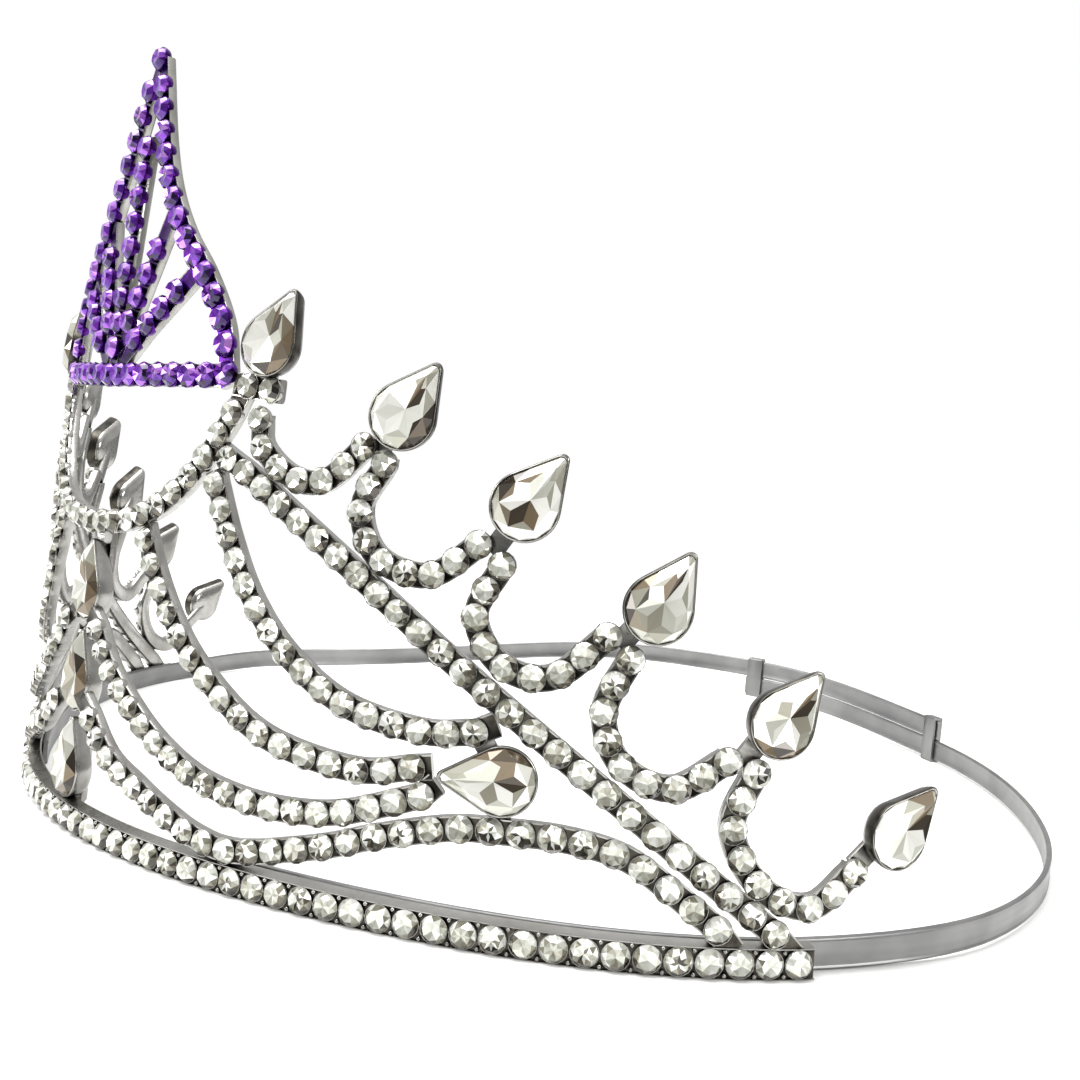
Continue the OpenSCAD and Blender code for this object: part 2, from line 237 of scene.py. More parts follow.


# machine-cut lead crystal over foil: no light goes through it, and each facet carries a painted
# reflection, a tone of its own from nearly black through warm brown to white, under a wet-looking gloss
crystalLook = {
    "tones": [(0.0, "#1a1916"), (0.2, "#595347"), (0.4, "#8f8c7c"), (0.65, "#c5c7bb"),
              (1.0, "#fcfdf7")],
    "metal": 0.5, "roughness": 0.03, "coat": 0.8, "coatRoughness": 0.01,
}
# the same glass in the pears, whose large facets' painted reflections show the foil's warmth more and its
# gloss less
pearCrystalLook = {
    "tones": [(0.0, "#2b2622"), (0.2, "#756650"), (0.4, "#a3a192"), (0.65, "#cdcec2"),
              (1.0, "#fbfaf3")],
    "metal": 0.4, "roughness": 0.03, "coat": 0.4, "coatRoughness": 0.01,
}
# purple crystal over the same foil, with painted facet reflections from nearly black through violet to a
# painted pale glint
amethystLook = {
    "tones": [(0.0, "#16032a"), (0.3, "#3a0a6c"), (0.55, "#6419a4"), (0.8, "#8c3cc8"),
              (1.0, "#c98be8")],
    "metal": 0.5, "roughness": 0.04, "coat": 0.6, "coatRoughness": 0.01,
}


def makeCutGlass(name, look):
    material, tree = newMaterial(name)
    facet = addNode(tree, "ShaderNodeAttribute", attribute_name="paintedFacetReflection")
    colour = addNode(tree, "ShaderNodeValToRGB", {"Fac": facet.outputs["Fac"]})
    colourStops(colour, look["tones"])
    shader = addNode(tree, "ShaderNodeBsdfPrincipled", {
        "Base Color": colour.outputs["Color"], "Metallic": look["metal"], "Roughness": look["roughness"],
        "Coat Weight": look["coat"], "Coat Roughness": look["coatRoughness"]})
    finishMaterial(tree, shader.outputs["BSDF"])
    return material


silverPlate = makeSilverPlate(silverPlateLook)
bandSteel = makeBandSteel(bandSteelLook)
paintedGroundShade = makeStainedPlate("shadedGroundPlate", groundShadeLook)
paintedPurpleShine = makeStainedPlate("purpleReflectionAndShadePlate", purpleShineLook)
crystal = makeCutGlass("foiledCrystal", crystalLook)
pearCrystal = makeCutGlass("foiledPearCrystal", pearCrystalLook)
amethyst = makeCutGlass("foiledPurpleCrystal", amethystLook)
print("materials made")


# the crown's surface: u runs round from the front middle and z up from the floor, in mm
ringShape = {
    "radius": 84.8, "oval": 3.5, "egg": 2.0, "square": 1.6, "nose": 0.6,
    "lean": 0.065, "peakLean": 0.045, "peakZ": 58.0, "midY": -0.6,
    "step": 2, "lastAngle": 124,      # degrees, of the table from u to angle
}


def ringRadius(angle):
    a = math.radians(angle)
    return (ringShape["radius"] - ringShape["oval"] * math.cos(2 * a)
            - ringShape["egg"] * math.cos(3 * a) + ringShape["square"] * math.cos(4 * a)
            + ringShape["nose"] * math.cos(5 * a))


arcTable, angleTable = [0.0], [0.0]
while angleTable[-1] < ringShape["lastAngle"]:
    halfway = angleTable[-1] + ringShape["step"] / 2
    arcTable.append(arcTable[-1] + ringRadius(halfway) * math.radians(ringShape["step"]))
    angleTable.append(angleTable[-1] + ringShape["step"])


def angleAt(u):
    size = abs(u)
    i = min(bisect.bisect_right(arcTable, size), len(arcTable) - 1)
    share = (size - arcTable[i - 1]) / (arcTable[i] - arcTable[i - 1])
    return math.copysign(angleTable[i - 1] + ringShape["step"] * share, u)


def leanAt(z):
    # how far the wall has come in at this height: a steady lean, and more in the peak
    return ringShape["lean"] * z + ringShape["peakLean"] * max(z - ringShape["peakZ"], 0)


def polar(angle, z, out):
    a = math.radians(angle)
    r = ringRadius(angle) - leanAt(z) + out
    return Vector((r * math.sin(a), ringShape["midY"] - r * math.cos(a), z))


def bent(u, z, out):
    return polar(angleAt(u), z, out)


def panelAxes(u, z, turn=0.0, off=0.0, slew=0.0):
    # a point of the wall, and the directions across, up and out from it there. turn spins them
    # on the wall in degrees, off moves the point out, and slew swings them round in radians
    a = math.radians(angleAt(u)) - slew
    t = math.atan(leanAt(z + 1) - leanAt(z))
    across = Vector((math.cos(a), math.sin(a), 0))
    up = Vector((-math.sin(a) * math.sin(t), math.cos(a) * math.sin(t), math.cos(t)))
    out = Vector((math.sin(a) * math.cos(t), -math.cos(a) * math.cos(t), math.sin(t)))
    c, s = math.cos(math.radians(turn)), math.sin(math.radians(turn))
    return bent(u, z, off), c * across - s * up, s * across + c * up, out


def stoneAxes(u, z):
    # a round stone lies flat on its strip, turned as far as the ring is from a circle
    angle, step = angleAt(u), ringShape["step"]
    slope = (ringRadius(angle + step) - ringRadius(angle - step)) / math.radians(2 * step)
    return panelAxes(u, z, slew=math.atan(slope / ringRadius(angle)))


def curvePoints(points, steps=12):
    # a smooth curve through all the points, this many steps from one to the next
    found, last = [], len(points) - 1
    for i in range(last):
        b, c = points[i], points[i + 1]
        a = points[i - 1] if i > 0 else [2 * b[k] - c[k] for k in (0, 1)]
        d = points[i + 2] if i < last - 1 else [2 * c[k] - b[k] for k in (0, 1)]
        for j in range(steps):
            s = j / steps
            found.append([0.5 * (2 * b[k] + (c[k] - a[k]) * s
                                 + (2 * a[k] - 5 * b[k] + 4 * c[k] - d[k]) * s * s
                                 + (3 * b[k] - a[k] - 3 * c[k] + d[k]) * s ** 3) for k in (0, 1)])
    return found + [list(points[last])]


def spacedPlaces(points, count):
    # places at even distances along the curve, from its first point to its last
    fine = curvePoints(points)
    runs = [0.0]
    for p, q in zip(fine, fine[1:]):
        runs.append(runs[-1] + math.dist(p, q))
    places = []
    for k in range(count):
        x = runs[-1] * k / (count - 1)
        i = min(max(bisect.bisect_right(runs, x), 1), len(runs) - 1)
        share = (x - runs[i - 1]) / (runs[i] - runs[i - 1])
        places.append([fine[i - 1][n] + share * (fine[i][n] - fine[i - 1][n]) for n in (0, 1)])
    return places


def otherSide(places):
    return [[-u, z] for u, z in places]


def bothSides(places):
    return places + otherSide(places)


# rows of the left half, in u and z: [points they run through, stones along them]
rows = {
    "upper": [[[0, 40.3], [9.6, 41.3], [17.1, 44], [22.7, 48.2], [26.8, 53.3], [28.5, 55.8]], 11],
    "seat": [[[30.7, 59], [34.2, 58.6]], 2],
    "swoop1": [[[26.9, 47.2], [30.2, 40.8], [34.5, 34.4], [40.5, 28.7], [48.6, 24.3], [58.4, 22.7],
                [64.6, 23.4]], 16],
    "swoop2": [[[15, 39.3], [18.2, 34.5], [22.7, 29.2], [27.7, 24.9], [35.2, 20.3], [41.9, 18.2],
                [51.2, 17.3], [57.8, 18.6]], 16],
    "swoop3": [[[5.6, 26.6], [9.8, 22.3], [15.9, 18.2], [22, 14.9], [28.8, 12.4], [36, 11.3],
                [43.2, 11.3], [49.9, 12.4], [59.1, 15.7]], 19],
    "swoop4": [[[6.4, 15.2], [11.9, 11.3], [18, 9.2], [23.7, 7.2], [29.7, 5.5], [36, 5.2],
                [47, 7.9], [54.2, 10.4], [62.7, 12.7], [69.1, 13.2], [75.5, 13.2], [81.8, 12],
                [86.9, 8.9], [92, 5.2]], 28],
    "diagonal": [[[28.5, 50.3], [33.7, 47.8], [48.1, 39.3], [64.1, 28.8], [80.2, 18],
                  [98.3, 4.9]], 26],
    "arc1": [[[33, 55.2], [33.8, 52], [38.2, 49], [43.2, 48.9], [48.1, 53.1]], 7],
    "arc2": [[[51, 51.4], [48.4, 46.3], [51.1, 41], [57.7, 39.7], [63.2, 43.6]], 9],
    "arc3": [[[66.1, 41.6], [63.5, 35.9], [66.8, 31], [72.6, 30.3], [78.2, 35.2]], 9],
    "arc4": [[[80.8, 33], [78.4, 27.3], [80.5, 21.9], [86.2, 19.7], [91.9, 23.1]], 9],
    "arc5": [[[95.1, 22], [92.9, 16.1], [96.2, 10], [102.3, 7.7], [107.3, 11.4]], 9],
}
peakRows = {
    "foot": [[[0, 59.6], [23.1, 60]], 8],
    "arch": [[[26.5, 60.4], [24.8, 66], [20.2, 72], [14.6, 77.2], [9.8, 82.8], [6, 89.2],
              [2.2, 97.4]], 14],
    "middleRay": [[[0, 63.2], [0, 89.6]], 9],
}
peakPlaces = {
    "apex": [0, 101.3], "hub": [0, 59.6], "footEnd": [26.7, 60.3],
    "archStart": (0.6, -1.4),      # from its first stone
    "archEnd": [0.5, 100.9],
    "middleBar": [[0, 59.8], [0, 70], [0, 80], [0, 91]],
    # the slanting rays: degrees from upright, and distances from the hub
    "rayAngles": (27, 54), "rayFirst": 7.8, "rayPitch": 3.4, "rayStones": 4,
    "rayStart": 3, "rayEnds": (23, 22),
}
# the rail's stones run from minus last to last, and the rail itself as far as its end
railPlaces = {"last": 101.1, "count": 63, "z": 1.7, "end": 103}


def rayPlace(angle, distance):
    a, (hubU, hubZ) = math.radians(angle), peakPlaces["hub"]
    return [hubU + distance * math.sin(a), hubZ + distance * math.cos(a)]


rowStones = {name: spacedPlaces(*row) for name, row in rows.items()}
peakStones = {name: spacedPlaces(*row) for name, row in peakRows.items()}
railStones = [[railPlaces["last"] * (2 * k / (railPlaces["count"] - 1) - 1), railPlaces["z"]]
              for k in range(railPlaces["count"])]
rayStones = [rayPlace(angle, peakPlaces["rayFirst"] + peakPlaces["rayPitch"] * k)
             for angle in peakPlaces["rayAngles"] for k in range(peakPlaces["rayStones"])]


sharpAngle = 42      # degrees: a shallower edge of a metal piece is shaded round


# meshes are gathered as plain lists in mm and become one object each
def emptyMesh():
    return {"points": [], "faces": [], "slots": [], "tones": []}


def addPatch(mesh, points, faces, slot=0):
    start = len(mesh["points"])
    mesh["points"].extend(points)
    mesh["faces"].extend([[start + i for i in face] for face in faces])
    mesh["slots"].extend([slot] * len(faces))


def addLoft(mesh, rings, slot=0, closed=False):
    # a skin over the rings, with a cap on the first and the last unless it closes on itself
    n, count = len(rings[0]), len(rings)
    faces = []
    for r in range(count if closed else count - 1):
        a, b = r * n, (r + 1) % count * n
        faces.extend([a + k, a + (k + 1) % n, b + (k + 1) % n, b + k] for k in range(n))
    if not closed:
        faces.append(list(range(n)))
        faces.append([(count - 1) * n + k for k in range(n)])
    addPatch(mesh, [p for ring in rings for p in ring], faces, slot)


def makePiece(name, mesh, materials, smooth=True):
    data = bpy.data.meshes.new(name)
    data.from_pydata([tuple(c * 0.001 for c in p) for p in mesh["points"]], [], mesh["faces"])
    for material in materials:
        data.materials.append(material)
    data.polygons.foreach_set("material_index", mesh["slots"])
    if mesh["tones"]:
        data.attributes.new("paintedFacetReflection", "FLOAT", "FACE").data.foreach_set("value", mesh["tones"])
    bm = bmesh.new()
    bm.from_mesh(data)
    bmesh.ops.recalc_face_normals(bm, faces=bm.faces)
    bm.to_mesh(data)
    bm.free()
    data.polygons.foreach_set("use_smooth", [smooth] * len(data.polygons))
    if smooth:
        data.set_sharp_from_angle(angle=math.radians(sharpAngle))
    piece = bpy.data.objects.new(name, data)
    bpy.context.scene.collection.objects.link(piece)
    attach(piece, "root")
    return piece


# the cast front: flat ribbons as wide as their stones, a rimmed cup under every stone and
# thin-walled cups for the pears
plain, shadedGround, purple = 0, 1, 2      # its material slots
castingShape = {
    # each bar's half width, and how far its front and its back stand out from the wall
    "bars": {
        "rail": (1.7, 0.2, -1.4), "row": (1.42, 0.22, -1.1), "upper": (1.42, 0.24, -1.1),
        "neck": (1.25, -0.3, -1.15), "post": (1.4, -0.2, -1.2), "foot": (1.42, 0.18, -1.1),
        "archLeft": (1.42, 0.22, -1.1), "archRight": (1.42, 0.2, -1.1),
        "middleRay": (1.42, 0.16, -1.12), "ray": (1.42, 0.14, -1.12),
    },
    # a bar's section: both front edges [in from the side, out from the front, share of the
    # lip], the upper back edge [in, out from the back, share of the rise] and the lower one
    "frontEdge": [(0, -0.14, 0), (0.03, 0, 1), (0.12, 0, 1), (0.2, 0, 0)],
    "upperBack": [(0.02, 0.3, 1), (0.16, 0.06, 1), (0.6, 0, 0)],
    "lowerBack": [(0.6, 0), (0.22, 0.12), (0.02, 0.4)],
    "groundSide": 3,       # of the section's sides, the one between the lips
    "lip": 0.02, "railLip": 0.26, "railRise": 0.3,
    "stepsPerStone": 3, "railSteps": 3,
    # how far a row's bar runs on in u and z, before its first stone and after its last
    "runOn": {
        "seat": ((-2.6, 0.2), (1.2, 0)), "swoop1": ((-0.6, 1.6), (2.4, 1.2)),
        "swoop2": ((-0.9, 1.6), (2.2, 0.4)), "swoop3": ((-3.1, 1.8), (1.6, 1.6)),
        "swoop4": ((-3.35, 1.9), (1.8, -2.2)), "diagonal": ((-3, 1.4), (2.6, -2.6)),
        "upper": ((0, 0), (1.2, 2.4)),
    },
    "arcRunOn": ((0, 0.6), (0.3, 0.6)),
    # a round stone's cup from back to front: [radius, out from the wall]
    "cup": [(1.25, -0.5), (1.45, -0.3), (1.57, 0.05), (1.615, 0.36), (1.62, 0.48), (1.6, 0.54),
            (1.55, 0.54), (1.53, 0.3)],
    "cupSides": 16,
    "bead": 0.3, "beadOut": 0.42, "beadAside": 1.28, "beadSides": 8,
    "beadTilts": (-60, -20, 20, 60, 84),      # degrees up from its middle
}


def barProfile(half, front, back, lip, rise):
    edge = [(inset - half, front + up + share * lip) for inset, up, share in castingShape["frontEdge"]]
    upper = [(half - inset + share * rise, back + up) for inset, up, share in castingShape["upperBack"]]
    lower = [(inset - half, back + up) for inset, up in castingShape["lowerBack"]]
    return edge + [(-w, d) for w, d in reversed(edge)] + upper + lower


def addBar(mesh, kind, places, ground=shadedGround, lip=castingShape["lip"], rise=0.0):
    profile = barProfile(*castingShape["bars"][kind], lip, rise)
    rings, last = [], len(places) - 1
    for i, (u, z, *deep) in enumerate(places):
        p, q = places[max(i - 1, 0)][:2], places[min(i + 1, last)][:2]
        length = math.dist(p, q)
        side = (-(q[1] - p[1]) / length, (q[0] - p[0]) / length)
        off = deep[0] if deep else 0.0
        rings.append([bent(u + w * side[0], z + w * side[1], d + off) for w, d in profile])
    first, n = len(mesh["slots"]), len(profile)
    addLoft(mesh, rings)
    # the ground between the stones gets painted shade, and the purple plate of painted reflection where
    # the stones are purple
    for k in range(last):
        mesh["slots"][first + k * n + castingShape["groundSide"]] = ground


def addCup(mesh, place, slot=plain):
    middle, across, up, out = stoneAxes(*place)
    n = castingShape["cupSides"]
    turns = [(math.cos(2 * math.pi * k / n), math.sin(2 * math.pi * k / n)) for k in range(n)]
    addLoft(mesh, [[middle + r * (c * across + s * up) + h * out for c, s in turns]
                   for r, h in castingShape["cup"]], slot)


def addBead(mesh, u, z):
    # grain of metal that is pushed over the stones on both sides of it
    middle, across, up, out = stoneAxes(u, z)
    middle = middle + castingShape["beadOut"] * out
    radius, sides = castingShape["bead"], castingShape["beadSides"]
    turns = [2 * math.pi * k / sides for k in range(sides)]
    rings = []
    for tilt in castingShape["beadTilts"]:
        c, h = radius * math.cos(math.radians(tilt)), radius * math.sin(math.radians(tilt))
        rings.append([middle + c * math.cos(a) * across + c * math.sin(a) * up + h * out for a in turns])
    addLoft(mesh, rings)


# pears: round end at [u, z], tip leaning away from the front by the angle; the middle ones
# also sit further in by their last number, and so does the post behind them
pears = {
    "top": [[33.7, 63.8, 25], [53, 56.7, 32], [68.1, 48.1, 35], [83.1, 38.6, 29],
            [97.1, 27.5, 38], [112, 15.5, 45]],
    "feet": [[32.5, 58.4], [49.7, 52.7], [64.6, 42.8], [79.4, 34.3], [93.5, 22.6], [107.7, 11.8]],
    "side": [68.1, 18.8, -90], "hanger": [[65, 23.2], [68.1, 18.8], [68.1, 13.2]],
    "centre": [[0, 30.9, 0, -1.6], [0, 18.7, 0, -1.6], [0, 7.1, 0, -1.6]],
    "post": [[0, 0.4, 0], [0, 3, -1.9], [0, 10, -1.9], [0, 20, -1.9], [0, 30, -1.9],
             [0, 38.6, -1.9], [0, 41.2, 0]],
    # the outline: its round end, and the reach from that end's middle to the tip. an inset
    # draws the tip in by more than the rest, and leaves it at least so round
    "radius": 3.95, "reach": 7.2, "tipRadius": 0.75, "tipDraw": 1.6, "sharpest": 0.15,
    "tipShare": 0.3,       # of each quarter of the outline's points that goes round the tip
}


def mirrored(pear):
    u, z, turn = pear
    return [-u, z, -turn]


def pearPoint(share, inset):
    # share 0 is the tip and 0.5 the round end: the half between goes round that end, and the
    # quarters beside the tip take in the flanks and the tip's own small round
    r = pears["radius"] - inset
    reach = pears["reach"] - pears["tipDraw"] * inset
    tipR = max(pears["tipRadius"] - inset / 2, pears["sharpest"])
    tangent = math.acos((r - tipR) / (reach - tipR))
    share = share % 1
    if 0.25 <= share <= 0.75:
        a = tangent + (2 * math.pi - 2 * tangent) * (share - 0.25) * 2
        return r * math.sin(a), r * math.cos(a)
    quarter = (share if share < 0.25 else 1 - share) * 4
    if quarter < pears["tipShare"]:
        a = tangent * quarter / pears["tipShare"]
        x, y = tipR * math.sin(a), reach - tipR + tipR * math.cos(a)
    else:
        flank = (quarter - pears["tipShare"]) / (1 - pears["tipShare"])
        x = (tipR + flank * (r - tipR)) * math.sin(tangent)
        y = (1 - flank) * (reach - tipR + tipR * math.cos(tangent)) + flank * r * math.cos(tangent)
    return (x, y) if share < 0.25 else (-x, y)


# a pear's cup: domed back, wall with painted shade that draws in towards the front, and a thin rolled rim
bezelShape = {
    # from back to front: [in from the outline, out from the wall]
    "rings": [(3.1, -1.2), (2.2, -1.19), (1.45, -1.08), (0.85, -0.85), (0.5, -0.5), (0.32, -0.05),
              (0.2, 0.4), (0.09, 1.0), (0.08, 1.3), (0.09, 1.46), (0.15, 1.57), (0.23, 1.6),
              (0.31, 1.55), (0.36, 1.4), (0.38, 1.1)],
    "points": 56,
    "shadedWalls": range(5, 10),      # of the skins between those rings, counted from 0
}


def addBezel(mesh, place, walls=bezelShape["shadedWalls"]):
    middle, across, up, out = panelAxes(*place)
    n = bezelShape["points"]
    rings = []
    for inset, h in bezelShape["rings"]:
        ring = [pearPoint(k / n, inset) for k in range(n)]
        rings.append([middle + x * across + y * up + h * out for x, y in ring])
    first = len(mesh["slots"])
    addLoft(mesh, rings)
    for wall in walls:
        mesh["slots"][first + wall * n:first + (wall + 1) * n] = [shadedGround] * n


def runOn(places, before, after):
    # the bar's own places: the row's, and one more at each end
    start = [places[0][k] + before[k] for k in (0, 1)]
    finish = [places[-1][k] + after[k] for k in (0, 1)]
    return [start] + places + [finish]


def wholeRow(half):
    # a half row that starts at the middle, with its mirror image joined on
    return otherSide(half)[:0:-1] + half


def addRail(mesh):
    count = castingShape["railSteps"] * railPlaces["count"]
    rail = [[railPlaces["end"] * (2 * k / count - 1), railPlaces["z"]] for k in range(count + 1)]
    addBar(mesh, "rail", rail, lip=castingShape["railLip"], rise=castingShape["railRise"])


def addRows(mesh):
    for name, (points, count) in rows.items():
        if name == "upper":
            continue
        before, after = castingShape["runOn"].get(name, castingShape["arcRunOn"])
        for sign in (1, -1):
            line = [[sign * u, z] for u, z in points]
            places = spacedPlaces(line, count * castingShape["stepsPerStone"])
            addBar(mesh, "row", runOn(places, (sign * before[0], before[1]), (sign * after[0], after[1])))
    points, count = rows["upper"]
    half = spacedPlaces(points, count * castingShape["stepsPerStone"])
    half = runOn(half, *castingShape["runOn"]["upper"])[1:]
    addBar(mesh, "upper", wholeRow(half))


def addNecks(mesh):
    for sign in (1, -1):
        for pear, foot in zip(pears["top"], pears["feet"]):
            addBar(mesh, "neck", [[sign * u, z] for u, z in (foot, pear[:2])], plain)
        addBar(mesh, "neck", [[sign * u, z] for u, z in pears["hanger"]], plain)
    addBar(mesh, "post", pears["post"], plain)


def addPeakBars(mesh):
    foot = spacedPlaces(*peakRows["foot"]) + [peakPlaces["footEnd"]]
    addBar(mesh, "foot", wholeRow(foot), purple)
    points, count = peakRows["arch"]
    arch = spacedPlaces(points, count * castingShape["stepsPerStone"])
    arch = runOn(arch, peakPlaces["archStart"], (0, 0))[:-1] + [peakPlaces["archEnd"]]
    addBar(mesh, "archLeft", arch, purple)
    addBar(mesh, "archRight", otherSide(arch), purple)
    addBar(mesh, "middleRay", peakPlaces["middleBar"], purple)
    for angle, end in zip(peakPlaces["rayAngles"], peakPlaces["rayEnds"]):
        ray = [rayPlace(angle, d) for d in (peakPlaces["rayStart"], end / 2, end)]
        addBar(mesh, "ray", ray, purple)
        addBar(mesh, "ray", otherSide(ray), purple)


def makeCastFront():
    mesh = emptyMesh()
    addRail(mesh)
    addRows(mesh)
    addNecks(mesh)
    addPeakBars(mesh)
    silverCups = list(railStones)
    for name, stones in rowStones.items():
        silverCups += stones + otherSide(stones[1:] if name == "upper" else stones)
    for place in silverCups:
        addCup(mesh, place)
    for (u, z), following in zip(railStones, railStones[1:]):
        for side in (1, -1):
            addBead(mesh, (u + following[0]) / 2, z + side * castingShape["beadAside"])
    purpleCups = bothSides(peakStones["foot"][1:] + peakStones["arch"] + rayStones)
    purpleCups += peakStones["middleRay"] + [peakPlaces["apex"], peakPlaces["hub"]]
    for place in purpleCups:
        addCup(mesh, place, purple)
    for place in pears["top"] + [pears["side"]]:
        addBezel(mesh, place)
        addBezel(mesh, mirrored(place))
    # the middle pears' cups get no painted shade on their walls
    for place in pears["centre"]:
        addBezel(mesh, place, [])
    materials = [silverPlate, paintedGroundShade, paintedPurpleShine]
    piece = makePiece("castFront", mesh, materials)
    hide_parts("frame")
    print("cast front made,", len(silverCups) + len(purpleCups), "round cups")


makeCastFront()


# cut stones: kites and girdle facets round a table, and in the table the pavilion's facets,
# which meet in a sunken point; each facet takes one painted tone, painted light or shade in place of what
# the foil sends back
roundCut = {
    "sides": 8, "girdle": 1.54, "table": 1.06,
    "heart": 0.5,          # how far out the inner facets' corners lie, as a share of the table
    # heights out from the wall, and how far the culet shows below the table
    "girdleFoot": 0.12, "girdleTop": 0.56, "tableHeight": 1.25, "sink": 0.2,
    "tilt": 5.0,           # degrees that a stone may sit out of square
    # the side that takes painted shade, and the painted tones that the inner facets may take
    "shade": (165, 35),    # degrees round to the dark side, and its spread
    "hearts": (0.05, 0.25, 0.6, 0.8, 0.9),
    "calm": 0.72,          # share of the stones whose table is nearly one tone
    "calmTone": (0.5, 0.76), "calmSpread": (-0.14, 0.18),
}
pearCut = {
    "sides": 8, "girdleInset": 0.35, "tableInset": 1.2, "heart": 0.74,
    "girdleFoot": 0.9, "girdleTop": 1.52, "tableHeight": 2.55, "sink": 0.75, "culetUp": 0.9,
    # the side that takes painted shade, and the painted tones that the inner facets may take
    "shade": (160, 60), "hearts": (0.35, 0.6, 0.8, 0.95, 1.0),
    "darkPair": (0.2, 0.04), "darkFrom": (7, 0, 3),
}
# [how far a facet turns to the light, from -1 to 1, and the painted light or shade tones that it may have
# below that]
paintedToneBands = [
    (-0.6, (0.02, 0.1, 0.2, 0.4)), (-0.1, (0.25, 0.45, 0.6, 0.85)), (2, (0.4, 0.7, 0.9, 1.0)),
]
# painted tones of the girdle and the back
girdleTone, backTone = 0.5, 0.3


def paintedFacetReflection(point, culet, shade, chance):
    # painted shade on one side of a stone and painted light on the other, with a facet here and there that
    # doesn't
    level = -math.cos(math.atan2(point[0] - culet[0], point[1] - culet[1]) - shade)
    return chance.choice(next(tones for limit, tones in paintedToneBands if level < limit))


def addCutStone(mesh, axes, girdle, table, cut, culet, hearts, chance):
    origin, across, up, out = axes

    def world(point, h):
        return origin + point[0] * across + point[1] * up + h * out

    n = cut["sides"]
    top, foot, high, sink = cut["girdleTop"], cut["girdleFoot"], cut["tableHeight"], cut["sink"]
    heart, heartHeight = [], high - sink * (1 - cut["heart"])
    for k in range(n):
        edge = [(table[k][i] + table[(k + 1) % n][i]) / 2 for i in (0, 1)]
        heart.append([culet[i] + cut["heart"] * (edge[i] - culet[i]) for i in (0, 1)])
    points = ([world(p, high) for p in table] + [world(p, heartHeight) for p in heart]
              + [world(p, top) for p in girdle] + [world(p, foot) for p in girdle]
              + [world(culet, high - sink)])
    # where the points of the table, heart, girdle, foot and culet start
    t, m, g, f, tip = 0, n, 2 * n, 4 * n, 6 * n
    faces, tones = [], []
    shade = math.radians(chance.gauss(*cut["shade"]))
    calm = "calm" in cut and chance.random() < cut["calm"]
    base = chance.uniform(*cut["calmTone"]) if calm else 0
    for k in range(n):
        after, left, right = (k + 1) % n, (2 * k - 1) % (2 * n), 2 * k + 1
        middle = 2 * k
        faces += [[tip, m + (k - 1) % n, t + k, m + k], [m + k, t + k, t + after],
                  [t + k, g + left, g + middle, g + right], [t + k, g + right, t + after],
                  [g + left, g + middle, f + middle, f + left],
                  [g + middle, g + right, f + right, f + middle]]
        outer = [paintedFacetReflection(p, culet, shade, chance) for p in (heart[k], table[k], heart[k])]
        inner = [hearts[k], outer[0]]
        if calm:
            inner = [base + chance.uniform(*cut["calmSpread"]) for i in (0, 1)]
        tones += inner + outer[1:] + [girdleTone, girdleTone]
    faces.append([f + k for k in range(2 * n)])
    tones.append(backTone)
    addPatch(mesh, points, faces)
    mesh["tones"] += tones


def circlePoints(radius, turn, count):
    angles = [turn + 2 * math.pi * k / count for k in range(count)]
    return [(radius * math.sin(a), radius * math.cos(a)) for a in angles]


def addRoundStone(mesh, place, chance):
    middle, across, up, out = stoneAxes(*place)
    # no stone sits quite square in its cup
    tilt = math.radians(roundCut["tilt"])
    out = out + chance.uniform(-tilt, tilt) * across + chance.uniform(-tilt, tilt) * up
    out.normalize()
    across = up.cross(out).normalized()
    up = out.cross(across)
    sides = roundCut["sides"]
    turn = chance.uniform(0, 2 * math.pi / sides)
    girdle = circlePoints(roundCut["girdle"], turn, 2 * sides)
    table = circlePoints(roundCut["table"], turn, sides)
    hearts = [chance.choice(roundCut["hearts"]) for k in range(sides)]
    addCutStone(mesh, (middle, across, up, out), girdle, table, roundCut, (0, 0), hearts, chance)


def makeStoneField(name, places, material, seed, node=None):
    mesh, chance = emptyMesh(), random.Random(seed)
    for place in places:
        addRoundStone(mesh, place, chance)
    piece = makePiece(name, mesh, [material], smooth=False)
    if node:
        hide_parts(node)
    print(name, "made,", len(places), "stones")


def makePearStone(name, place, node):
    mesh, chance = emptyMesh(), random.Random(name)
    sides = pearCut["sides"]
    girdle = [pearPoint(k / (2 * sides), pearCut["girdleInset"]) for k in range(2 * sides)]
    table = [pearPoint(k / sides, pearCut["tableInset"]) for k in range(sides)]
    # two of a pear's inner facets side by side carry a painted reflection of the camera's dark side of the
    # room
    hearts = [chance.choice(pearCut["hearts"]) for k in range(sides)]
    first = chance.choice(pearCut["darkFrom"])
    hearts[first], hearts[(first + 1) % sides] = pearCut["darkPair"]
    culet = (0, pearCut["culetUp"])
    addCutStone(mesh, panelAxes(*place), girdle, table, pearCut, culet, hearts, chance)
    piece = makePiece(name, mesh, [pearCrystal], smooth=False)
    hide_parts(node)


upperStones = rowStones["upper"] + otherSide(rowStones["upper"][1:]) + bothSides(rowStones["seat"])
swoopStones = sum((rowStones["swoop%d" % i] for i in (1, 2, 3, 4)), [])
arcStones = sum((rowStones["arc%d" % i] for i in (1, 2, 3, 4, 5)), [])
purpleStones = ([peakPlaces["apex"], peakPlaces["hub"]] + peakStones["middleRay"]
                + bothSides(peakStones["foot"][1:]) + bothSides(peakStones["arch"]) + bothSides(rayStones))
makeStoneField("crystalRail", railStones, crystal, seed=1, node="rail_stones")
makeStoneField("crystalDiagonals", bothSides(rowStones["diagonal"]), crystal, seed=2,
               node="diagonal_stones")
makeStoneField("crystalUpperRow", upperStones, crystal, seed=3, node="upper_stones")
